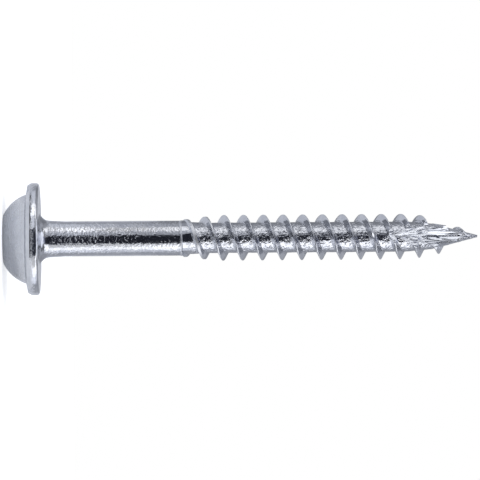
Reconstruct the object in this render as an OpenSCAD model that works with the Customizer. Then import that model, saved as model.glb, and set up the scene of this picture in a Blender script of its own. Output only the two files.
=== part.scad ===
// Pocket hole screw, standing on the flat top of its head with the point up.
// The origin is the middle of the flat, and +Z runs along the shank from head to point.
// Head, shank and thread are one piece of steel. All sizes are in millimetres.

/* [Head] */
// Diameter of the flat top of the head
face_d = 4.9; // [4.2:0.1:6]
// Diameter of the dome where it meets the flange
dome_d = 8.95; // [7.6:0.05:10]
// Height of the dome
dome_h = 2.25; // [1.6:0.05:3]
// How far the side of the dome swells out of a straight cone
dome_bulge = 0.31; // [0.1:0.01:0.45]
// Diameter of the flange
flange_d = 11.28; // [10.4:0.02:14]
// Thickness of the flange, from the foot of the dome to the bearing face
flange_h = 1.35; // [1.1:0.05:2]
// How far the front of the flange slopes back from the dome to its shoulder
flange_slope_h = 0.2; // [0.05:0.05:0.3]
// How far the rim stands out of the shoulder on the front of the flange
rim_step = 0.17; // [0.1:0.01:0.25]
// Height of that shoulder
shoulder_h = 0.33; // [0.2:0.01:0.4]
// Radius of the rim's edge at the bearing face
rim_round = 0.28; // [0.1:0.02:0.35]

/* [Drive] */
// Width of the square recess across its flats
drive_w = 2.85; // [2.3:0.05:3.2]
// Depth of the recess down its flats
drive_depth = 2.1; // [1.4:0.1:2.6]
// Angle of the drilled cone at the bottom of the recess
drive_cone_angle = 120; // [100:5:140]
// Width of the bevel around the mouth of the recess
drive_bevel = 0.12; // [0.05:0.01:0.2]

/* [Shank] */
// Length from the bearing face to the tip
under_head_len = 44.45; // [38:0.05:60]
// Diameter of the plain shank
shank_d = 3.53; // [3.3:0.01:4.2]
// Length from the bearing face to the end of the plain shank
shank_len = 14.75; // [8:0.05:20]
// Length of the cone that ends the plain shank
shank_end_len = 0.35; // [0.2:0.05:0.8]
// Radius of the fillet under the head
neck_fillet = 1.1; // [0.5:0.05:1.4]
// How much thicker the shank is where the fillet ends
neck_swell = 0.16; // [0.04:0.02:0.24]
// Length from the bearing face to where the shank has its own diameter
neck_len = 2.6; // [1.8:0.1:4]

/* [Thread] */
// Number of ridges that wind around the core
starts = 2; // [1:1:3]
// Distance between neighbouring crests along the axis
pitch = 2; // [1.7:0.05:2.6]
// Diameter over the crests
major_d = 4.63; // [4.4:0.01:5.4]
// Diameter of the core between the ridges
root_d = 3.06; // [2.7:0.01:3.2]
// Angle between the two flanks of a ridge
thread_angle = 45; // [35:1:60]
// Width of the crest
crest_w = 0.09; // [0.04:0.01:0.15]
// How far back along the plain shank the ridges start to rise out of it
run_back = 0.95; // [0.3:0.05:1.2]
// Length over which the ridges rise from the shank's diameter to full height
run_in_len = 4.3; // [3:0.1:7]
// How far along the axis the first crest lies behind the start of the thread
first_crest = 0.72; // [0:0.02:1]
// How much thicker the core is where the plain shank ends
root_swell = 0.2; // [0:0.02:0.3]
// Length over which the core comes down to its own diameter
root_swell_len = 2.2; // [1:0.1:4]

/* [Point] */
// Length from where the core starts to taper to the tip
nose_len = 7.3; // [6.5:0.1:9]
// Length of the sharp cone at the end
cone_len = 4.65; // [3.5:0.05:5.5]
// Diameter of the core where the sharp cone starts
cone_d = 2.58; // [2.1:0.02:2.7]
// Diameter of the blunt tip
tip_d = 0.2; // [0.1:0.02:0.4]
// Length over which the crests fall to nothing
crest_fall_len = 8.6; // [7:0.1:12]
// How late the crests fall away, where 1 is a straight cone
crest_fall_power = 2.4; // [1.5:0.1:3]

/* [Slot] */
// Distance from the axis to the bottom of the slot in the point
slot_floor = 0.44; // [0.3:0.02:0.8]
// Angle between the two walls of the slot
slot_angle = 122; // [90:2:140]
// Length of the level part of the slot, measured back from the tip
slot_len = 5.2; // [4:0.1:6]
// Angle at which the slot runs out into the core
slot_ramp = 14; // [8:1:20]
// Direction that the slot faces, around the axis
slot_dir = 265; // [0:5:360]

/* [Hidden] */
head_h = dome_h + flange_h;
face_r = face_d / 2;
dome_r = dome_d / 2;
flange_r = flange_d / 2;
shoulder_r = flange_r - rim_step;
shoulder_round = rim_step / 2;
shank_r = shank_d / 2;
neck_r = shank_r + neck_swell / 2;
major_r = major_d / 2;
root_r = root_d / 2;
cone_r = cone_d / 2;
tip_r = tip_d / 2;
shank_end_z = head_h + shank_len;
tip_z = head_h + under_head_len;
nose_z = tip_z - nose_len;
cone_z = tip_z - cone_len;
crest_fall_z = tip_z - crest_fall_len;
thread_z = shank_end_z - run_back;
// The core reaches this far back inside the shank, and the ridges start this far under its surface
core_overlap = 1.5;
start_depth = 0.02;
core_z = thread_z - core_overlap;
start_r = shank_r - start_depth;
lead = starts * pitch;
crest_z0 = thread_z + first_crest;
crest_half = crest_w / 2;
slot_reach = 2 * major_r;
// The slot's cutter stands this far out past the tip
overshoot = 1;
arc_steps = 14;
edge_steps = 5;
round_steps = 96;
cone_steps = 48;
// The thread has this many columns of points around it, and this many points to a ridge in each
columns = 40;
rows = 5;
// Points this close to an end of the core lie on the end itself
end_gap = 0.02;

// Points of an arc around [x, y], from angle a0 to a1.
function arc(x, y, r, a0, a1, steps) =
    [for (i = [0:steps]) let (a = a0 + (a1 - a0) * i / steps) [x + r * cos(a), y + r * sin(a)]];

// Points from p to q on an arc that swells to the right of the straight line by bulge.
function swell(p, q, bulge, steps) =
    let (d = q - p, half = norm(d) / 2, r = (half * half + bulge * bulge) / (2 * bulge))
    let (n = [d[1], -d[0]] / (2 * half), c = (p + q) / 2 - n * (r - bulge))
    let (a = asin(half / r), mid = atan2(n[1], n[0]))
    arc(c[0], c[1], r, mid - a, mid + a, steps);

// Half section of head and plain shank, from the flat top to the cone that ends the shank.
function blank_section() = concat(
    [[0, 0]],
    swell([face_r, 0], [dome_r, dome_h], dome_bulge, arc_steps),
    arc(shoulder_r - shoulder_round, dome_h + flange_slope_h + shoulder_round,
        shoulder_round, -80, 0, edge_steps),
    arc(flange_r - rim_step, dome_h + flange_slope_h + shoulder_h + rim_step,
        rim_step, -80, 0, edge_steps),
    arc(flange_r - rim_round, head_h - rim_round, rim_round, 0, 90, edge_steps),
    arc(neck_r + neck_fillet, head_h + neck_fillet, neck_fillet, 270, 180, arc_steps),
    [
        [shank_r, head_h + neck_len],
        [shank_r, shank_end_z],
        [root_r - root_swell / 2, shank_end_z + shank_end_len],
        [0, shank_end_z + shank_end_len]
    ]
);

// Radius of the core at a height.
function core_at(z) =
    z > cone_z ? tip_r + (cone_r - tip_r) * (tip_z - z) / cone_len :
    z > nose_z ? cone_r + (root_r - cone_r) * (cone_z - z) / (nose_len - cone_len) :
    root_r + root_swell / 2 * min(1, max(0, 1 - (z - shank_end_z) / root_swell_len));

// Radius of the crests at a height: they rise out of the shank and fall at the point.
function crest_at(z) =
    let (rise = min(1, max(0, (z - thread_z) / run_in_len)))
    let (fall = min(1, max(0, (z - crest_fall_z) / crest_fall_len)))
    min(start_r + (major_r - start_r) * rise, major_r * (1 - pow(fall, crest_fall_power)));

// Height of a ridge above the core, with nothing before the thread starts.
function ridge_at(z) = z < thread_z ? 0 : max(0, crest_at(z) - core_at(z));

// The points [z, r] that each ridge gives a column, around its crest at height z.
function ridge_points(z) =
    let (h = ridge_at(z), foot = crest_half + h * tan(thread_angle / 2))
    [
        [z - foot, core_at(z - foot)],
        [z - crest_half, core_at(z) + h],
        [z + crest_half, core_at(z) + h],
        [z + foot, core_at(z + foot)],
        [z + pitch / 2, core_at(z + pitch / 2)]
    ];

// Each column of points is the same helix lines, one step further around and up.
ridges_below = ceil((crest_z0 - core_z) / pitch) + starts;
ridge_count = ridges_below + ceil((tip_z - crest_z0) / pitch) + 1;
function column_ridges(c) = [
    for (k = [0:ridge_count - 1])
        each ridge_points(crest_z0 + (k - ridges_below) * pitch + lead * c / columns)
];

// How many points of a column lie below a height.
function lines_below(p, z) = len([for (v = p) if (v[0] < z) 1]);

// A point of a column, held between the two flat ends of the core.
function held(v) =
    v[0] < core_z + end_gap ? [core_z, root_r] :
    v[0] > tip_z - end_gap ? [tip_z, tip_r] : v;

columns_raw = [for (c = [0:columns - 1]) column_ridges(c)];
lows = [for (p = columns_raw) lines_below(p, core_z + end_gap) - 1];
highs = [for (p = columns_raw) lines_below(p, tip_z - end_gap)];
line_count = rows * ridge_count;

// Number of points in the columns before column c.
function points_before(c) = c == 0 ? 0 : points_before(c - 1) + highs[c - 1] - lows[c - 1] + 1;
offsets = [for (c = [0:columns]) points_before(c)];

// Index of the point on line k in column c. One turn on, a line is starts ridges higher.
function point_index(c, k) =
    c == columns ? point_index(0, k + rows * starts) :
    offsets[c] + min(highs[c], max(lows[c], k)) - lows[c];

// A triangle, unless two of its corners are one point.
function triangle(a, b, c) = a == b || b == c || c == a ? [] : [[a, b, c]];

module head_and_shank() {
    rotate_extrude($fn = round_steps) polygon(blank_section());
}

module thread_and_point() {
    points = [
        for (c = [0:columns - 1])
            for (k = [lows[c]:highs[c]])
                let (v = held(columns_raw[c][k]), a = 360 * c / columns)
                [v[1] * cos(a), v[1] * sin(a), v[0]]
    ];
    sides = [
        for (c = [0:columns - 1])
            for (k = [-rows * starts:line_count + rows * starts])
                let (p = point_index(c, k), q = point_index(c + 1, k))
                let (r = point_index(c + 1, k + 1), s = point_index(c, k + 1))
                each concat(triangle(p, r, q), triangle(p, s, r))
    ];
    bottom = [for (c = [0:columns - 1]) offsets[c]];
    top = [for (c = [columns - 1:-1:0]) offsets[c + 1] - 1];
    polyhedron(points, concat(sides, [bottom, top]), convexity = 10);
}

// A square hole with a drilled bottom and a bevelled mouth, cut up into the head.
module drive_recess() {
    cone_h = drive_w / 2 / tan(drive_cone_angle / 2);
    translate([0, 0, drive_depth / 2]) cube([drive_w, drive_w, drive_depth], center = true);
    translate([0, 0, drive_depth]) cylinder(h = cone_h, d1 = drive_w, d2 = 0, $fn = cone_steps);
    mouth_r = drive_w / 2 * sqrt(2);
    bevel_r = drive_bevel * sqrt(2);
    rotate([0, 0, 45]) cylinder(h = drive_bevel, r1 = mouth_r + bevel_r, r2 = mouth_r, $fn = 4);
}

// Section of the slot: two walls that open outwards from the floor line.
module slot_section() {
    half_w = slot_reach * tan(slot_angle / 2);
    polygon([[0, 0], [slot_reach, half_w], [slot_reach, -half_w]]);
}

// The slot runs level from the tip, then slopes out through the side of the core.
module point_slot() {
    level_z = tip_z - slot_len;
    ramp_len = slot_reach / sin(slot_ramp);
    rotate([0, 0, slot_dir]) translate([slot_floor, 0, level_z]) {
        linear_extrude(height = slot_len + overshoot) slot_section();
        rotate([0, -slot_ramp, 0]) mirror([0, 0, 1]) linear_extrude(height = ramp_len) slot_section();
    }
}

module screw() {
    color("silver") difference() {
        union() {
            head_and_shank();
            thread_and_point();
        }
        drive_recess();
        point_slot();
    }
}

screw();
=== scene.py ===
"""A pocket hole screw that stands on the flat top of its head, point up.

The screw is one piece of bright zinc-plated steel. Its head, shank, thread and point are modelled
here with smooth surfaces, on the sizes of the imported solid. All lengths are in metres.
"""

import math

import bpy
from mathutils import Matrix, Vector, noise


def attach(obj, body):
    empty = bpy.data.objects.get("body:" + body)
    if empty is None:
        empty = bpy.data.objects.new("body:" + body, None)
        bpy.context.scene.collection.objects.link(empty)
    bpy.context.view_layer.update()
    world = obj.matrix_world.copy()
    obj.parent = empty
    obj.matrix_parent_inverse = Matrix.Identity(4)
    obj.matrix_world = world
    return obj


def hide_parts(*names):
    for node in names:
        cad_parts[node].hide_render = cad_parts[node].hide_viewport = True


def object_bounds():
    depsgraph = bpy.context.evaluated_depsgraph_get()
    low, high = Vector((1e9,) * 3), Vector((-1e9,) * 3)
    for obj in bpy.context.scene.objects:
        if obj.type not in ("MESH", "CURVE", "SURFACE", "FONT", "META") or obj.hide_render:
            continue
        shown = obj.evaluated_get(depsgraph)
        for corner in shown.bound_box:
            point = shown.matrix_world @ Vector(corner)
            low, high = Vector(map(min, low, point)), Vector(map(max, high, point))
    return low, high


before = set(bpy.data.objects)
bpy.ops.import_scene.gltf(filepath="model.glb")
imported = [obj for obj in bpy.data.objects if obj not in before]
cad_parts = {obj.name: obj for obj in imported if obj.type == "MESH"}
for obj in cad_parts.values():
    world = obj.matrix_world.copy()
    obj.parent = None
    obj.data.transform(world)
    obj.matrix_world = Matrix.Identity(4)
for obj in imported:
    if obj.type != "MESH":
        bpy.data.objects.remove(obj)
cad_low, cad_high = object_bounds()

MM = 0.001

# Sizes of the head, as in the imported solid.
FLANGE_R = -cad_low.x
FACE_R = 2.45 * MM
DOME_R = 4.475 * MM
DOME_H = 2.25 * MM
DOME_BULGE = 0.31 * MM
FLANGE_H = 1.35 * MM
FLANGE_SLOPE_H = 0.2 * MM
RIM_STEP = 0.17 * MM
SHOULDER_H = 0.29 * MM
RIM_EDGE = 0.07 * MM
RIM_ROUND = 0.28 * MM
HEAD_H = DOME_H + FLANGE_H

# The crease between dome and flange: two points, by how far they are out and up from the dome's rim.
CREASE = ((-0.015 * MM, 0.035 * MM), (0.06 * MM, 0.03 * MM))

# The square recess.
DRIVE_W = 2.85 * MM
DRIVE_DEPTH = 2.1 * MM
DRIVE_CONE_ANGLE = math.radians(120)
DRIVE_BEVEL = 0.12 * MM
CUTTER_OUT = 0.5 * MM

# The plain shank.
SHANK_R = 1.765 * MM
SHANK_END_Z = HEAD_H + 14.75 * MM
NECK_FILLET = 1.1 * MM
NECK_SWELL = 0.08 * MM
NECK_LEN = 2.6 * MM

# A slight unevenness of the shank: depths in mm, each with the size of its features.
SHANK_WAVES = ((0.003, 0.9 * MM), (0.0015, 0.4 * MM))
WAVE_STRETCH = 0.6

# A rolled line rings the shank where the thread starts. Past it the blank ends inside the thread.
RING_Z = 17.84 * MM
RING_BEAD = 0.02 * MM
RING_LEN = 0.03 * MM
RING_CLEAR = 0.09 * MM
JOINT_STEP = 0.05 * MM
JOINT_LEN = 0.3 * MM

# The thread: two ridges that wind to the right.
TIP_Z = cad_high.z
STARTS = 2
PITCH = 2.0 * MM
LEAD = STARTS * PITCH
MAJOR_R = 2.315 * MM
ROOT_R = 1.53 * MM
RIDGE_H = MAJOR_R - ROOT_R
FLANK = math.radians(22.5)
CREST_HALF = 0.045 * MM
CREST_FLAT = CREST_HALF * 0.6
RIDGE_FOOT = CREST_HALF + RIDGE_H * math.tan(FLANK)
THREAD_Z = SHANK_END_Z - 0.95 * MM
START_R = SHANK_R - 0.02 * MM
RUN_IN_LEN = 4.3 * MM
FIRST_CREST_Z = THREAD_Z + 0.72 * MM
GROOVE_RIM_R = SHANK_R + 0.024 * MM
GROOVE_RUN = 0.45 * LEAD
ROOT_SWELL = 0.1 * MM
ROOT_SWELL_LEN = 2.2 * MM
CORE_Z = RING_Z - 0.01 * MM

# The first crests are wide and flat, lie late, and the ridges lean a little on the axis.
FIRST_CREST_LATE = 0.17 * MM
FIRST_CREST_WIDE = 0.2 * MM
WIDEN_BEFORE = 0.5 * MM
WIDEN_LEN = 1.2 * MM
SETTLE_LEN = 4.5 * MM
RISE_POWER = 0.7
LEAN = 0.02

# Small dents of the core in mm, each with the size of its features, and the wear of the crests.
CORE_DENTS = ((0.02, 0.33 * MM), (0.008, 0.14 * MM))
CREST_DENTS = ((0.015, 0.9 * MM),)

# The last crests are worn down, most of all on the side that is down in the photograph.
WORN_LEN = 3.6 * MM
WORN_RUN = 1.2 * MM
WORN_SHARE = 0.62
WORN_LOWER_SIDE = 0.36

# The point and its slot.
NOSE_LEN = 7.3 * MM
CONE_LEN = 4.65 * MM
CONE_R = 1.29 * MM
TIP_R = 0.1 * MM
CREST_FALL_LEN = 8.6 * MM
CREST_FALL_POWER = 2.4
SHAVED_X = -1.5 * MM
SHAVED_Z = (42.8 * MM, 44.8 * MM)
SHAVED_SLOPE = 0.22
SLOT_FLOOR = 0.44 * MM
SLOT_ANGLE = math.radians(122)
SLOT_LEN = 5.2 * MM
SLOT_RAMP = math.radians(16.5)
SLOT_DIR = math.radians(265)
SLOT_RAMP_LEN = 5 * MM
SLOT_GROOVE = 0.05 * MM
SLOT_GROOVE_OUT = 0.04 * MM
SLOT_GROOVE_HALF_W = 0.1 * MM

# Two nicks on the dome, by their direction around the axis and their slant, in degrees.
NICKS = ((241.2, -36), (314.5, 36))
NICK_OUT = 0.24 * MM
NICK_SIZE = (0.42 * MM, 0.1 * MM, 0.2 * MM)
NICK_LIFT = 0.1 * MM
NICK_Z = 0.16 * MM
NICK_TILT = 0.6

# How near a face lies to a crest, out from the axis and along it, or to a wall of the slot.
NEAR_CREST_OUT = 0.025 * MM
NEAR_CREST_ALONG = 0.015 * MM
NEAR_WALL = 0.035 * MM
NEAR_WALL_SHARE = 0.04

# Colours of the plating.
DULL_ZINC = (0.64, 0.655, 0.7)
ZINC = (0.77, 0.78, 0.81)
WORN_ZINC = (0.8, 0.81, 0.83)
CUT_STEEL = (0.79, 0.81, 0.86)
SCRATCHED_STEEL = (0.3, 0.32, 0.37)

# How much stronger the grain of the plating is between the ridges.
ROOT_GRAIN = 1.9

# How finely the round shapes are divided.
LATHE_STEPS = 160
THREAD_STEPS = 120
SHANK_RINGS = 48
SMOOTH_ANGLE = math.radians(28)

# A light tent around the screw. Directions are in degrees, from the camera towards the top of the
# frame. Each upright card has its two edges, its tint and its levels going up from the floor. Each
# card on the floor has its two edges, where it starts and ends, and its level.
TENT_R = 60 * MM
TENT_HEIGHTS = [0.3 * MM, 7 * MM, 16.5 * MM, 60 * MM, 95 * MM, 150 * MM]
WHITE = (0.97, 0.98, 1.01)
COOL = (0.9, 0.935, 1.03)
DARK = (0.75, 0.82, 1.15)
TENT = [
    (-32, 21, DARK, (0.05, 0.017, 0.025, 0.12, 0.4)),
    (21, 46, COOL, (0.85, 0.34, 0.5, 0.08, 0.7)),
    (46, 66, WHITE, (1.9, 0.38, 1.25, 0.2, 0.8)),
    (66, 78, WHITE, (1.5, 0.54, 1.1, 1.3, 0.8)),
    (78, 112, COOL, (0.8, 0.54, 0.38, 0.35, 0.15)),
    (112, 140, COOL, (0.4, 0.43, 0.26, 0.45, 0.3)),
    (140, 180, COOL, (0.6, 0.62, 0.3, 0.47, 0.5)),
    (180, 220, COOL, (0.6, 0.62, 0.36, 0.47, 0.5)),
    (220, 260, COOL, (0.42, 0.45, 0.4, 0.47, 0.12)),
    (260, 282, COOL, (1.2, 0.7, 0.9, 0.25, 0.08)),
    (282, 303, WHITE, (1.6, 1.25, 1.8, 0.25, 0.1)),
    (303, 323, WHITE, (0.7, 0.66, 1.5, 1.5, 0.15)),
    (323, 328, COOL, (0.3, 0.2, 0.3, 0.1, 0.7)),
]
FLOOR_CARDS = [(-34, 95, 13 * MM, 38 * MM, 0.07), (95, 250, 8 * MM, 58 * MM, 0.66)]
FLOOR_CARD_Z = 0.05 * MM
CEILING = 1.2

# The floor, the room and the lamp. The floor glows for the camera, and less for what mirrors it.
FLOOR_SIZE = 0.6
PALE_FLOOR = (0.76, 0.79, 0.85)
FLOOR_SEEN = 0.55
FLOOR_IN_METAL = 0.12
ROOM = (0.5, 0.5, 0.5)
LAMP_SIZE = 0.5
LAMP_POWER = 2.0
LAMP_SPOT = (-0.25, -0.3, 0.55)

# The photograph's view. One pixel of its frame is PIXEL wide at the axis of the screw.
FRAME_PIXELS = 480
PIXEL = 0.1012 * MM
AIM_Z = 23.8 * MM
AIM_BELOW_AXIS = 2.3 * PIXEL
CAMERA_AWAY = 2000 * PIXEL
CAMERA_SWING = -0.061
CAMERA_ROLL = 0.007
SENSOR = 36.0


# Camera

def place_camera():
    """The photograph shows the screw lying across the frame, so the camera is turned on its side."""
    data = bpy.data.cameras.new("camera")
    camera = bpy.data.objects.new("camera", data)
    bpy.context.collection.objects.link(camera)
    aim = Vector((AIM_BELOW_AXIS, 0, AIM_Z))
    away = Vector((0, -math.cos(CAMERA_SWING), math.sin(CAMERA_SWING)))
    spot = aim + away * CAMERA_AWAY
    back = (spot - aim).normalized()
    up = Vector((-1, 0, CAMERA_ROLL)).normalized()
    right = up.cross(back).normalized()
    up = back.cross(right)
    turn = Matrix((right, up, back)).transposed().to_4x4()
    camera.matrix_world = Matrix.Translation(spot) @ turn
    data.sensor_width = SENSOR
    data.lens = SENSOR * CAMERA_AWAY / (FRAME_PIXELS * PIXEL)
    data.clip_start = 0.01
    data.clip_end = 10
    bpy.context.scene.camera = camera


# Modelling helpers

def deselect_all():
    """Leaves edit mode, with nothing selected."""
    if bpy.context.object and bpy.context.object.mode != "OBJECT":
        bpy.ops.object.mode_set(mode="OBJECT")
    bpy.ops.object.select_all(action="DESELECT")


def make_active(piece):
    deselect_all()
    piece.select_set(True)
    bpy.context.view_layer.objects.active = piece


def edit_all(piece):
    """Goes into edit mode with all of the piece selected."""
    bpy.context.view_layer.objects.active = piece
    bpy.ops.object.mode_set(mode="EDIT")
    bpy.ops.mesh.select_all(action="SELECT")


def clamped(value):
    """The value, kept between 0 and 1."""
    return min(1, max(0, value))


def arc(x, z, radius, start, end, steps):
    """Points of an arc around (x, z), with its angles in degrees."""
    angles = [math.radians(start + (end - start) * i / steps) for i in range(steps + 1)]
    return [(x + radius * math.cos(a), z + radius * math.sin(a)) for a in angles]


def swell(p, q, bulge, steps):
    """Points from p to q on an arc that swells out of the straight line by bulge."""
    p, q = Vector(p), Vector(q)
    half = (q - p).length / 2
    radius = (half * half + bulge * bulge) / (2 * bulge)
    normal = Vector((q.y - p.y, p.x - q.x)) / (2 * half)
    centre = (p + q) / 2 - normal * (radius - bulge)
    spread = math.degrees(math.asin(half / radius))
    middle = math.degrees(math.atan2(normal.y, normal.x))
    return arc(centre.x, centre.y, radius, middle - spread, middle + spread, steps)


def drawn_up(name, section, steps):
    """A round piece: a disc that is extruded and resized from each point of the section to the next."""
    deselect_all()
    radius, z = section[0]
    bpy.ops.mesh.primitive_circle_add(
        vertices=steps, radius=radius, fill_type="NGON", location=(0, 0, z))
    piece = bpy.context.object
    piece.name = piece.data.name = name
    edit_all(piece)
    for (r0, z0), (r1, z1) in zip(section, section[1:]):
        bpy.ops.mesh.extrude_region_move(TRANSFORM_OT_translate={"value": (0, 0, z1 - z0)})
        bpy.ops.transform.resize(value=(r1 / r0, r1 / r0, 1), center_override=(0, 0, z1))
    bpy.ops.mesh.select_all(action="SELECT")
    bpy.ops.mesh.normals_make_consistent(inside=False)
    bpy.ops.object.mode_set(mode="OBJECT")
    bpy.ops.object.transform_apply(location=True, rotation=True, scale=True)
    return piece


def cut(piece, cutter, operation="DIFFERENCE"):
    """Applies a boolean to the piece, and removes what it was cut or joined with."""
    make_active(piece)
    step = piece.modifiers.new(operation.lower(), "BOOLEAN")
    step.operation = operation
    step.solver = "MANIFOLD"
    step.object = cutter
    bpy.ops.object.modifier_apply(modifier=step.name)
    bpy.data.objects.remove(cutter)


# Head and shank

def rough(place, size):
    """Even noise from -1 to 1 with features of about the given size."""
    return noise.noise(Vector(place) / size)


def unevenness(place, layers):
    """Noise in layers, each with its depth and the size of its features."""
    return sum(depth * rough(place, size) for depth, size in layers)


def blank_section():
    """Half section of head and shank as (radius, height), from the flat top to inside the thread."""
    slope_z = DOME_H + FLANGE_SLOPE_H
    shoulder_r = FLANGE_R - RIM_STEP
    corner = RIM_STEP / 2
    neck_r = SHANK_R + NECK_SWELL
    points = swell((FACE_R, 0), (DOME_R, DOME_H), DOME_BULGE, 20)
    points += [(DOME_R + out, DOME_H + up) for out, up in CREASE]
    points += arc(shoulder_r - corner, slope_z + corner, corner, -80, 0, 6)
    points += arc(FLANGE_R - RIM_EDGE, slope_z + SHOULDER_H + RIM_EDGE, RIM_EDGE, -70, 0, 6)
    points += arc(FLANGE_R - RIM_ROUND, HEAD_H - RIM_ROUND, RIM_ROUND, 0, 90, 8)
    points += arc(neck_r + NECK_FILLET, HEAD_H + NECK_FILLET, NECK_FILLET, 270, 180, 20)
    first, last = HEAD_H + NECK_LEN, RING_Z - RING_CLEAR
    points += [(SHANK_R, first + (last - first) * i / SHANK_RINGS) for i in range(SHANK_RINGS + 1)]
    points += [(SHANK_R + RING_BEAD, RING_Z - RING_LEN), (SHANK_R + RING_BEAD, RING_Z)]
    points += [(SHANK_R - JOINT_STEP, RING_Z + JOINT_STEP), (ROOT_R - ROOT_SWELL, RING_Z + JOINT_LEN)]
    return points


def make_blank():
    """The blank is drawn up and then made slightly uneven along its shank."""
    piece = drawn_up("screw_body", blank_section(), LATHE_STEPS)
    for vertex in piece.data.vertices:
        x, y, z = vertex.co
        if z > HEAD_H + NECK_FILLET:
            wave = unevenness((x, y, z * WAVE_STRETCH), SHANK_WAVES)
            vertex.co.xy *= 1 + wave * MM / math.hypot(x, y)
    return piece


# Thread

def core_radius(z):
    """The core is a cone at the point, tapers before it, and swells a little at the shank."""
    if z > TIP_Z - CONE_LEN:
        return TIP_R + (CONE_R - TIP_R) * max(0, TIP_Z - z) / CONE_LEN
    if z > TIP_Z - NOSE_LEN:
        return CONE_R + (ROOT_R - CONE_R) * (TIP_Z - CONE_LEN - z) / (NOSE_LEN - CONE_LEN)
    return ROOT_R + ROOT_SWELL * clamped(1 - (z - SHANK_END_Z) / ROOT_SWELL_LEN)


def crest_radius(z):
    """The ridges rise out of the shank, and fall away towards the point."""
    rise = clamped((z - THREAD_Z) / RUN_IN_LEN)
    fall = clamped((z - TIP_Z + CREST_FALL_LEN) / CREST_FALL_LEN)
    full = START_R + (MAJOR_R - START_R) * rise ** RISE_POWER
    return min(full, MAJOR_R * (1 - fall ** CREST_FALL_POWER))


def groove_radius(z, crest):
    """The groove on the head side of a crest runs out of the shank and down to the core."""
    share = clamped((crest - FIRST_CREST_Z) / GROOVE_RUN)
    depth = share * share * (3 - 2 * share)
    return GROOVE_RIM_R + (min(GROOVE_RIM_R, core_radius(z)) - GROOVE_RIM_R) * depth


def ridge_section():
    """One ridge and the core up to the next, as (distance along the axis, share of the height)."""
    half = [(-PITCH / 2 * share, 0) for share in (0.86, 0.72, 0.59)]
    half += [(-RIDGE_FOOT - 0.12 * MM, 0), (-RIDGE_FOOT - 0.03 * MM, 0.008)]
    for share in (0.03, 0.1, 0.3, 0.55, 0.8, 0.93):
        half.append((-(RIDGE_FOOT - share * (RIDGE_FOOT - CREST_HALF)), share))
    half.append((-CREST_FLAT, 1))
    other = [(-u, share) for u, share in reversed(half)]
    return half + other + [(PITCH / 2, 0)]


def draw_line(name, points):
    """A line through points given as (radius, height), extruded from one to the next."""
    last = points[0]
    deselect_all()
    bpy.ops.mesh.primitive_plane_add(size=MM, location=(last[0], 0, last[1]))
    piece = bpy.context.object
    piece.name = piece.data.name = name
    edit_all(piece)
    bpy.ops.mesh.merge(type="CENTER")
    for point in points[1:]:
        step = (point[0] - last[0], 0, point[1] - last[1])
        bpy.ops.mesh.extrude_region_move(TRANSFORM_OT_translate={"value": step})
        last = point
    bpy.ops.object.mode_set(mode="OBJECT")
    bpy.ops.object.transform_apply(location=True, rotation=True, scale=True)
    return piece


def trim_thread(piece):
    """Joins the turns, cuts both ends level and closes them."""
    edit_all(piece)
    bpy.ops.mesh.remove_doubles(threshold=0.0005 * MM)
    for z, lower in ((CORE_Z, True), (TIP_Z, False)):
        bpy.ops.mesh.select_all(action="SELECT")
        bpy.ops.mesh.bisect(plane_co=(0, 0, z), plane_no=(0, 0, 1), use_fill=lower,
                            clear_inner=lower, clear_outer=not lower, threshold=1e-7)
    bpy.ops.mesh.select_all(action="DESELECT")
    bpy.ops.mesh.select_mode(type="VERT")
    bpy.ops.mesh.select_non_manifold(use_wire=False, use_multi_face=False, use_non_contiguous=False,
                                     use_verts=False)
    bpy.ops.mesh.merge(type="CENTER")
    bpy.ops.mesh.select_all(action="SELECT")
    bpy.ops.mesh.normals_make_consistent(inside=True)
    bpy.ops.object.mode_set(mode="OBJECT")


def wind_thread():
    """The section of one lead, wound up by a screw modifier, then shaped and trimmed at both ends."""
    turns = math.ceil((TIP_Z - CORE_Z) / LEAD) + 2
    start = FIRST_CREST_Z - PITCH * 5
    section = ridge_section()
    points = [(ROOT_R, start - PITCH / 2)]
    for k in range(STARTS):
        points += [(ROOT_R + share * RIDGE_H, start + k * PITCH + u) for u, share in section]
    piece = draw_line("screw_thread", points)
    winding = piece.modifiers.new("winding", "SCREW")
    winding.axis = "Z"
    winding.angle = math.tau
    winding.screw_offset = LEAD
    winding.iterations = turns
    winding.steps = winding.render_steps = THREAD_STEPS
    winding.use_merge_vertices = False
    bpy.ops.object.modifier_apply(modifier=winding.name)
    shape_ridges(piece)
    trim_thread(piece)
    return piece


def newness(z):
    """1 where the thread starts, and 0 from where it has settled."""
    return clamped(1 - (z - FIRST_CREST_Z) / SETTLE_LEN)


def crest_half_width(z):
    """A ridge comes up narrow, is flat and wide in its first turn, and soon gets narrow again."""
    first = clamped((z - FIRST_CREST_Z + WIDEN_BEFORE) / WIDEN_LEN)
    return CREST_FLAT + FIRST_CREST_WIDE * newness(z) ** 2 * first


def nearest_crest(angle, z):
    """How high the middle of the nearest ridge is, at this angle around the axis."""
    line = FIRST_CREST_Z + LEAD * angle / math.tau
    return line + PITCH * round((z - line) / PITCH)


def moved_along(away, crest, height):
    """Where a point of the even winding goes along the axis, for the crest's width and height."""
    wide = crest_half_width(crest)
    new_foot = wide + (RIDGE_FOOT - CREST_FLAT) * height / RIDGE_H
    if abs(away) > RIDGE_FOOT:
        out = new_foot + (abs(away) - RIDGE_FOOT) * (PITCH / 2 - new_foot) / (PITCH / 2 - RIDGE_FOOT)
    elif abs(away) > CREST_FLAT:
        out = wide + (abs(away) - CREST_FLAT) * (new_foot - wide) / (RIDGE_FOOT - CREST_FLAT)
    else:
        out = abs(away) * wide / CREST_FLAT
    return crest + math.copysign(out, away)


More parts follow.
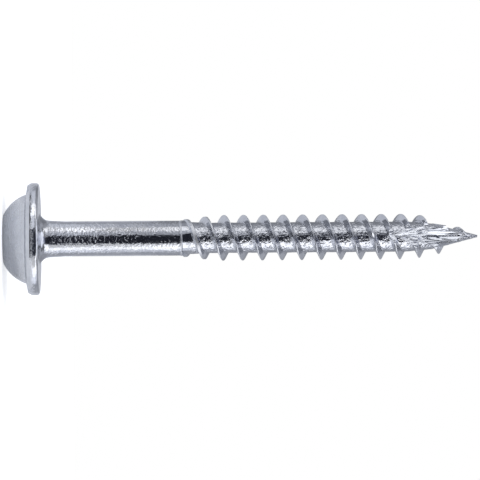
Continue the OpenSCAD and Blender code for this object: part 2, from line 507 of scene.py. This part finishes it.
def shape_ridges(piece):
    """Gives the even winding its start at the shank, its fall at the point and its small unevenness."""
    for vertex in piece.data.vertices:
        x, y, z = vertex.co
        share = (math.hypot(x, y) - ROOT_R) / RIDGE_H
        angle = math.atan2(y, x)
        crest = nearest_crest(angle, z)
        away = z - crest
        z = moved_along(away, crest, max(0, crest_radius(crest) - core_radius(crest)))
        base = groove_radius(z, crest if away < 0 else crest + PITCH)
        top = crest_radius(crest)
        worn = clamped((crest - TIP_Z + WORN_LEN) / WORN_RUN)
        worn_share = WORN_SHARE + WORN_LOWER_SIDE * math.cos(angle)
        top -= worn * (top - core_radius(crest)) * worn_share
        if crest < THREAD_Z:
            top = base
        radius = base + max(0, share) * max(0, top - base)
        spot = Vector((radius * math.cos(angle), radius * math.sin(angle), z))
        if z > RING_Z + JOINT_LEN:
            dent = unevenness(spot, CORE_DENTS) * (1 - share)
            radius += (dent - abs(unevenness(spot, CREST_DENTS)) * share) * MM
        x = radius * math.cos(angle)
        vertex.co = (x, radius * math.sin(angle), z + FIRST_CREST_LATE * newness(z) - LEAN * x)


def on_crest(place):
    """Whether a place of the finished screw is on the worn flat of a ridge."""
    x, y, z = place
    if z < RING_Z + 0.2 * MM:
        return RING_Z - 0.1 * MM < z < RING_Z + 0.03 * MM
    z += LEAN * x
    z -= FIRST_CREST_LATE * newness(z)
    crest = nearest_crest(math.atan2(y, x), z)
    high = math.hypot(x, y) > crest_radius(crest) - NEAR_CREST_OUT
    return high and abs(z - crest) < crest_half_width(crest) + NEAR_CREST_ALONG


# Cuts

def prism(name, corners, length, matrix):
    """A prism on a flat outline, extruded up and then moved by the matrix."""
    deselect_all()
    bpy.ops.mesh.primitive_circle_add(vertices=len(corners), radius=MM, fill_type="NGON")
    piece = bpy.context.object
    piece.name = piece.data.name = name
    for vertex, corner in zip(piece.data.vertices, corners):
        vertex.co = (*corner, 0)
    edit_all(piece)
    bpy.ops.mesh.extrude_region_move(TRANSFORM_OT_translate={"value": (0, 0, length)})
    bpy.ops.mesh.select_all(action="SELECT")
    bpy.ops.mesh.normals_make_consistent(inside=False)
    bpy.ops.object.mode_set(mode="OBJECT")
    piece.data.transform(matrix)
    if matrix.determinant() < 0:
        piece.data.flip_normals()
    return piece


def cut_slot(piece):
    """A V-shaped slot, level at the point and then run out on a ramp, with a fine groove along it."""
    reach = 2 * MAJOR_R
    half_w = reach * math.tan(SLOT_ANGLE / 2)
    corners = [(0, 0), (reach, half_w), (reach, -half_w)]
    turn = Matrix.Rotation(SLOT_DIR, 4, "Z")
    place = turn @ Matrix.Translation((SLOT_FLOOR, 0, TIP_Z - SLOT_LEN))
    ramp = place @ Matrix.Rotation(-SLOT_RAMP, 4, "Y") @ Matrix.Diagonal((1, 1, -1, 1))
    cut(piece, prism("slot_ramp", corners, reach / math.sin(SLOT_RAMP), ramp))
    cut(piece, prism("slot_level", corners, SLOT_LEN + MM, place))
    mouth = [(SLOT_GROOVE_OUT, SLOT_GROOVE_HALF_W), (SLOT_GROOVE_OUT, -SLOT_GROOVE_HALF_W)]
    groove = [(-SLOT_GROOVE, 0)] + mouth
    cut(piece, prism("slot_groove", groove, SLOT_LEN + MM, place))


def on_slot(place):
    """Whether a place of the finished screw is on a wall of the slot."""
    x, y, z = place
    if z < TIP_Z - SLOT_LEN - SLOT_RAMP_LEN:
        return False
    out = x * math.cos(SLOT_DIR) + y * math.sin(SLOT_DIR)
    across = abs(y * math.cos(SLOT_DIR) - x * math.sin(SLOT_DIR))
    floor = SLOT_FLOOR + max(0, TIP_Z - SLOT_LEN - z) * math.tan(SLOT_RAMP)
    wall = (out - floor) * math.tan(SLOT_ANGLE / 2)
    near = abs(across - wall) < NEAR_WALL + NEAR_WALL_SHARE * wall
    return near and out > floor - 1.2 * SLOT_GROOVE


def shave_crest(piece):
    """One crest near the point is cut flat on the side that is up in the photograph."""
    side = 3 * MAJOR_R
    far = SHAVED_X - side
    corners = [(far, -side), (SHAVED_X, -side), (SHAVED_X, side), (far, side)]
    low, high = SHAVED_Z
    lean = Matrix(((1, 0, SHAVED_SLOPE, 0), (0, 1, 0, 0), (0, 0, 1, low), (0, 0, 0, 1)))
    cut(piece, prism("shaving", corners, high - low, lean))


def cut_recess(piece):
    """A square hole with a drilled bottom and a bevelled mouth."""
    half = DRIVE_W / 2
    corners = [(-half, -half), (half, -half), (half, half), (-half, half)]
    below = Matrix.Translation((0, 0, -CUTTER_OUT))
    cut(piece, prism("recess", corners, DRIVE_DEPTH + CUTTER_OUT, below))
    deselect_all()
    cone_h = half / math.tan(DRIVE_CONE_ANGLE / 2)
    bpy.ops.mesh.primitive_cone_add(
        vertices=64, radius1=half, radius2=0, depth=cone_h, location=(0, 0, DRIVE_DEPTH + cone_h / 2))
    bottom = bpy.context.object
    bottom.name = "drilled_bottom"
    bpy.ops.mesh.primitive_cone_add(
        vertices=4, radius1=(half + DRIVE_BEVEL) * math.sqrt(2), radius2=half * math.sqrt(2),
        depth=DRIVE_BEVEL, location=(0, 0, DRIVE_BEVEL / 2))
    mouth = bpy.context.object
    mouth.name = "bevelled_mouth"
    for cutter, turn in ((bottom, 0), (mouth, 45)):
        make_active(cutter)
        bpy.ops.object.transform_apply(location=True, rotation=True, scale=True)
        cutter.data.transform(Matrix.Rotation(math.radians(turn), 4, "Z"))
        cut(piece, cutter)


def nick_dome(piece):
    """Two short nicks run slantwise over the edge of the flat."""
    rise = math.atan2(DOME_H, DOME_R - FACE_R)
    for azimuth, slant in NICKS:
        deselect_all()
        bpy.ops.mesh.primitive_uv_sphere_add(segments=24, ring_count=16, radius=1)
        nick = bpy.context.object
        nick.name = "nick"
        place = Matrix.Rotation(math.radians(azimuth), 4, "Z")
        place = place @ Matrix.Translation((FACE_R + NICK_OUT, 0, NICK_Z))
        place = place @ Matrix.Rotation(-rise * NICK_TILT, 4, "Y")
        place = place @ Matrix.Translation((0, 0, -NICK_LIFT))
        place = place @ Matrix.Rotation(math.radians(slant), 4, "Z")
        nick.data.transform(place @ Matrix.Diagonal((*NICK_SIZE, 1)))
        cut(piece, nick)


# Materials

def add_node(tree, kind, **values):
    """A new node of the kind, with these settings."""
    node = tree.nodes.new(kind)
    for key, value in values.items():
        setattr(node, key, value)
    return node


def calculate(tree, operation, *values):
    """A math node on two or three values, each a socket or a number."""
    node = add_node(tree, "ShaderNodeMath", operation=operation)
    for socket, value in zip(node.inputs, values):
        if isinstance(value, bpy.types.NodeSocket):
            tree.links.new(value, socket)
        else:
            socket.default_value = value
    return node.outputs[0]


def grainy(tree, coords, stretch, size, detail):
    """Noise with features of about size, drawn out along each axis by stretch."""
    mapping = add_node(tree, "ShaderNodeMapping")
    mapping.inputs["Scale"].default_value = [1 / (size * MM * k) for k in stretch]
    tree.links.new(coords, mapping.inputs["Vector"])
    texture = add_node(tree, "ShaderNodeTexNoise")
    texture.inputs["Scale"].default_value = 1
    texture.inputs["Detail"].default_value = detail
    tree.links.new(mapping.outputs[0], texture.inputs["Vector"])
    return texture.outputs["Fac"]


def remap(tree, value, low, high, to_low, to_high):
    """The value, taken smoothly from one range to another."""
    node = add_node(tree, "ShaderNodeMapRange", interpolation_type="SMOOTHSTEP")
    tree.links.new(value, node.inputs["Value"])
    names = ("From Min", "From Max", "To Min", "To Max")
    for name, number in zip(names, (low, high, to_low, to_high)):
        node.inputs[name].default_value = number
    return node.outputs[0]


def mix_colours(tree, share, first, second):
    """The first colour where the share is 0, and the second where it is 1."""
    node = add_node(tree, "ShaderNodeMix", data_type="RGBA")
    tree.links.new(share, node.inputs["Factor"])
    for socket in node.inputs:
        if socket.type == "RGBA":
            socket.default_value = (*(first if socket.name == "A" else second), 1)
    return [socket for socket in node.outputs if socket.type == "RGBA"][0]


def new_metal(name):
    """A plain metal, with its node tree and the coordinates of the piece that it is on."""
    material = bpy.data.materials.new(name)
    material.use_nodes = True
    tree = material.node_tree
    tree.nodes["Principled BSDF"].inputs["Metallic"].default_value = 1.0
    return material, tree, add_node(tree, "ShaderNodeTexCoord").outputs["Object"]


def add_relief(tree, height, depth):
    """Shows a height as relief of the surface."""
    bump = add_node(tree, "ShaderNodeBump")
    bump.inputs["Strength"].default_value = 1
    bump.inputs["Distance"].default_value = depth
    tree.links.new(height, bump.inputs["Height"])
    tree.links.new(bump.outputs[0], tree.nodes["Principled BSDF"].inputs["Normal"])


def add_finish(tree, colour, roughness):
    """Gives the metal its colour and its roughness."""
    shader = tree.nodes["Principled BSDF"]
    tree.links.new(colour, shader.inputs["Base Color"])
    tree.links.new(roughness, shader.inputs["Roughness"])


def around_axis(tree, place):
    """The distance from the axis, and coordinates in which rings around it are all alike."""
    across = add_node(tree, "ShaderNodeCombineXYZ")
    tree.links.new(place.outputs["X"], across.inputs["X"])
    tree.links.new(place.outputs["Y"], across.inputs["Y"])
    radius = add_node(tree, "ShaderNodeVectorMath", operation="LENGTH")
    tree.links.new(across.outputs[0], radius.inputs[0])
    turned = add_node(tree, "ShaderNodeCombineXYZ")
    tree.links.new(radius.outputs["Value"], turned.inputs["X"])
    tree.links.new(place.outputs["Z"], turned.inputs["Z"])
    return radius.outputs["Value"], turned.outputs[0]


def zinc_plating(name, pebbles, dents, streaks, roughness, dull, bright):
    """Bright zinc: a pebbled, patchy skin over steel, with marks of drawing along the axis."""
    material, tree, coords = new_metal(name)
    place = add_node(tree, "ShaderNodeSeparateXYZ")
    tree.links.new(coords, place.inputs[0])
    along = place.outputs["Z"]
    radius, turned = around_axis(tree, place)

    # Grains of several sizes, and where they are: dome, flange, flanks of the ridges, roots.
    even = (1, 1, 1)
    pebble = grainy(tree, coords, even, 0.24, 2)
    fine = grainy(tree, coords, even, 0.28, 1)
    patch = grainy(tree, coords, even, 0.8, 3)
    drawn = grainy(tree, coords, (1, 1, 12), 0.2, 2)
    rings = grainy(tree, turned, even, 0.16, 1)
    dome = remap(tree, along, DOME_H * 0.95, DOME_H * 1.1, 1, 0)
    flange = remap(tree, along, HEAD_H * 0.95, HEAD_H * 1.3, 1, 0)
    threaded = remap(tree, along, RING_Z + 0.4 * MM, RING_Z + 1.0 * MM, 0, 1)
    raised = remap(tree, radius, ROOT_R + 0.08 * MM, ROOT_R + 0.2 * MM, 0, 1)
    flank = calculate(tree, "MULTIPLY", threaded, raised)
    root = calculate(tree, "SUBTRACT", threaded, flank)

    start = remap(tree, along, RING_Z - 0.1 * MM, RING_Z, 0, 1)
    start = calculate(tree, "SUBTRACT", start, threaded)

    # How strong the grain is: weak on the head, the flanks and the thread's start, strong in the roots.
    grain = calculate(tree, "MULTIPLY_ADD", flange, -0.5, 1.0)
    grain = calculate(tree, "MULTIPLY_ADD", dome, -0.4, grain)
    for where, change in ((flank, -0.6), (root, ROOT_GRAIN), (start, -0.8)):
        factor = calculate(tree, "MULTIPLY_ADD", where, change, 1.0)
        grain = calculate(tree, "MULTIPLY", grain, factor)
    height = calculate(tree, "MULTIPLY", pebble, pebbles)
    specks = remap(tree, fine, 0.55, 0.78, 0, 1)
    clusters = remap(tree, patch, 0.35, 0.65, 0.4, 1)
    specks = calculate(tree, "MULTIPLY", specks, clusters)
    height = calculate(tree, "MULTIPLY_ADD", specks, dents, height)
    height = calculate(tree, "MULTIPLY_ADD", drawn, streaks, height)
    height = calculate(tree, "MULTIPLY", height, grain)
    height = calculate(tree, "MULTIPLY_ADD", calculate(tree, "MULTIPLY", rings, dome), 0.9, height)
    add_relief(tree, height, 0.02 * MM)

    # Patches where the zinc is duller, weaker on the dome, and the turned marks on the dome.
    spread = calculate(tree, "MULTIPLY_ADD", dome, -0.5, 1.0)
    shine = calculate(tree, "MULTIPLY_ADD", calculate(tree, "SUBTRACT", patch, 0.5), spread, 0.5)
    turned_marks = calculate(tree, "MULTIPLY", calculate(tree, "SUBTRACT", rings, 0.5), dome)
    shine = calculate(tree, "MULTIPLY_ADD", turned_marks, 0.7, shine)
    shine = remap(tree, shine, 0.25, 0.75, 0, 1)
    gloss = remap(tree, shine, 0, 1, roughness + 0.04, roughness - 0.03)
    gloss = calculate(tree, "MULTIPLY_ADD", dome, 0.15, gloss)
    add_finish(tree, mix_colours(tree, shine, dull, bright), gloss)
    return material


def cut_steel():
    """The slot is milled along the screw, so its walls are streaked lengthwise."""
    material, tree, coords = new_metal("cut_steel")
    streak = grainy(tree, coords, (1, 1, 16), 0.2, 2)
    line = grainy(tree, coords, (1, 1, 10), 0.3, 1)
    blot = grainy(tree, coords, (1, 1, 2.5), 0.5, 2)
    height = calculate(tree, "MULTIPLY_ADD", remap(tree, line, 0.5, 0.66, 0, 1), 3.2, streak)
    height = calculate(tree, "MULTIPLY_ADD", blot, 1.2, height)
    add_relief(tree, height, 0.03 * MM)
    scratch = remap(tree, grainy(tree, coords, (1, 1, 24), 0.15, 1), 0.6, 0.7, 0, 1)
    colour = mix_colours(tree, scratch, CUT_STEEL, SCRATCHED_STEEL)
    add_finish(tree, colour, remap(tree, blot, 0.3, 0.7, 0.16, 0.26))
    return material


# Stage

def plain_material(name, colour, emission=None):
    """A dull material of the colour, or a black one that glows in it."""
    material = bpy.data.materials.new(name)
    material.use_nodes = True
    shader = material.node_tree.nodes["Principled BSDF"]
    shader.inputs["Base Color"].default_value = (*colour, 1)
    shader.inputs["Roughness"].default_value = 0.9
    if emission is not None:
        shader.inputs["Base Color"].default_value = (0, 0, 0, 1)
        shader.inputs["Specular IOR Level"].default_value = 0
        shader.inputs["Emission Color"].default_value = (*colour, 1)
        shader.inputs["Emission Strength"].default_value = emission
    return material


def mirrored_or_through(tree, path):
    """1 for what is seen in a mirror or through glass, and otherwise 0."""
    return calculate(tree, "MAXIMUM", path.outputs["Is Glossy Ray"], path.outputs["Is Transmission Ray"])


def make_floor():
    """A pale floor. The camera sees it white but for the shadow, and metal and glass see it pale."""
    deselect_all()
    bpy.ops.mesh.primitive_plane_add(size=FLOOR_SIZE, location=(0, 0, 0))
    floor = bpy.context.object
    floor.name = "floor"
    material = plain_material("pale_floor", PALE_FLOOR)
    tree = material.node_tree
    path = add_node(tree, "ShaderNodeLightPath")
    seen = calculate(tree, "MULTIPLY", path.outputs["Is Camera Ray"], FLOOR_SEEN)
    others = calculate(tree, "MULTIPLY", mirrored_or_through(tree, path), FLOOR_IN_METAL)
    shader = tree.nodes["Principled BSDF"]
    shader.inputs["Emission Color"].default_value = (1, 1, 1, 1)
    tree.links.new(calculate(tree, "ADD", seen, others), shader.inputs["Emission Strength"])
    floor.data.materials.append(material)


def make_world():
    """An even grey room for the light, which the camera, metal and glass see white."""
    world = bpy.data.worlds.new("studio")
    bpy.context.scene.world = world
    world.use_nodes = True
    tree = world.node_tree
    tree.nodes.clear()
    output = add_node(tree, "ShaderNodeOutputWorld")
    room = add_node(tree, "ShaderNodeBackground")
    room.inputs["Color"].default_value = (*ROOM, 1)
    white = add_node(tree, "ShaderNodeBackground")
    white.inputs["Color"].default_value = (1, 1, 1, 1)
    path = add_node(tree, "ShaderNodeLightPath")
    seen = calculate(tree, "MAXIMUM", path.outputs["Is Camera Ray"], mirrored_or_through(tree, path))
    mix = add_node(tree, "ShaderNodeMixShader")
    tree.links.new(seen, mix.inputs["Fac"])
    tree.links.new(room.outputs[0], mix.inputs[1])
    tree.links.new(white.outputs[0], mix.inputs[2])
    tree.links.new(mix.outputs[0], output.inputs["Surface"])


def make_lamp():
    """One large soft lamp, high up on the camera's side."""
    data = bpy.data.lights.new("soft_box", "AREA")
    data.shape = "RECTANGLE"
    data.size = data.size_y = LAMP_SIZE
    data.energy = LAMP_POWER
    lamp = bpy.data.objects.new("soft_box", data)
    bpy.context.collection.objects.link(lamp)
    spot = Vector(LAMP_SPOT)
    away = spot - Vector((0, 0, AIM_Z))
    turn = away.to_track_quat("Z", "Y").to_matrix().to_4x4()
    lamp.matrix_world = Matrix.Translation(spot) @ turn
    lamp.visible_camera = False


def hide_card(card):
    """The cards are seen in the metal only."""
    card.visible_camera = False
    card.visible_shadow = False
    card.visible_diffuse = False


def new_card(name, columns, rows):
    """A square grid from -1 to 1, which is then moved to where the card is."""
    deselect_all()
    bpy.ops.mesh.primitive_grid_add(x_subdivisions=columns, y_subdivisions=rows, size=2)
    card = bpy.context.object
    card.name = name
    return card


def make_card(name, first, last, tint, levels):
    """An upright card of the light tent, between its two edges, with one material for each level."""
    angles = [math.radians(first), math.radians(last)]
    edges = [Vector((-math.sin(a), -math.cos(a), 0)) * TENT_R for a in angles]
    card = new_card(name, 1, len(levels))
    for vertex in card.data.vertices:
        row = round((vertex.co.y + 1) / 2 * len(levels))
        edge = edges[0] if vertex.co.x < 0 else edges[1]
        vertex.co = edge + Vector((0, 0, TENT_HEIGHTS[row]))
    for i, level in enumerate(levels):
        card.data.materials.append(plain_material(f"{name}_{i}", tint, level))
    for face in card.data.polygons:
        face.material_index = sum(1 for z in TENT_HEIGHTS[1:-1] if face.center.z > z)
    hide_card(card)


def make_floor_card(name, first, last, start, end, level):
    """A card on the floor, bent around the screw."""
    card = new_card(name, 12, 1)
    for vertex in card.data.vertices:
        angle = math.radians(first + (last - first) * (vertex.co.x + 1) / 2)
        radius = start if vertex.co.y < 0 else end
        vertex.co = (-math.sin(angle) * radius, -math.cos(angle) * radius, FLOOR_CARD_Z)
    card.data.materials.append(plain_material(name, COOL, level))
    hide_card(card)


def make_ceiling():
    """A round card that closes the tent above."""
    deselect_all()
    bpy.ops.mesh.primitive_circle_add(
        vertices=48, radius=TENT_R, fill_type="NGON", location=(0, 0, TENT_HEIGHTS[-1]))
    card = bpy.context.object
    card.name = "ceiling"
    card.data.materials.append(plain_material("ceiling", COOL, CEILING))
    hide_card(card)


def make_tent():
    for i, (first, last, tint, levels) in enumerate(TENT):
        make_card(f"card_{i}", first, last, tint, levels)
    for i, values in enumerate(FLOOR_CARDS):
        make_floor_card(f"floor_card_{i}", *values)
    make_ceiling()


place_camera()
make_world()
make_floor()
make_lamp()
make_tent()

screw = make_blank()
cut(screw, wind_thread(), "UNION")
cut_slot(screw)
shave_crest(screw)
cut_recess(screw)
nick_dome(screw)
make_active(screw)
bpy.ops.object.shade_smooth_by_angle(angle=SMOOTH_ANGLE)
screw.data.materials.clear()
screw.data.materials.append(zinc_plating(
    "bright_zinc", pebbles=1.35, dents=0.8, streaks=0.4, roughness=0.11, dull=DULL_ZINC, bright=ZINC))
screw.data.materials.append(zinc_plating(
    "rolled_crest", pebbles=1.0, dents=0.5, streaks=0.2, roughness=0.42, dull=ZINC, bright=WORN_ZINC))
screw.data.materials.append(cut_steel())
for face in screw.data.polygons:
    face.material_index = 2 if on_slot(face.center) else int(on_crest(face.center))
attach(screw, "root")
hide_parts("screw")
bpy.context.scene.view_settings.view_transform = "Standard"
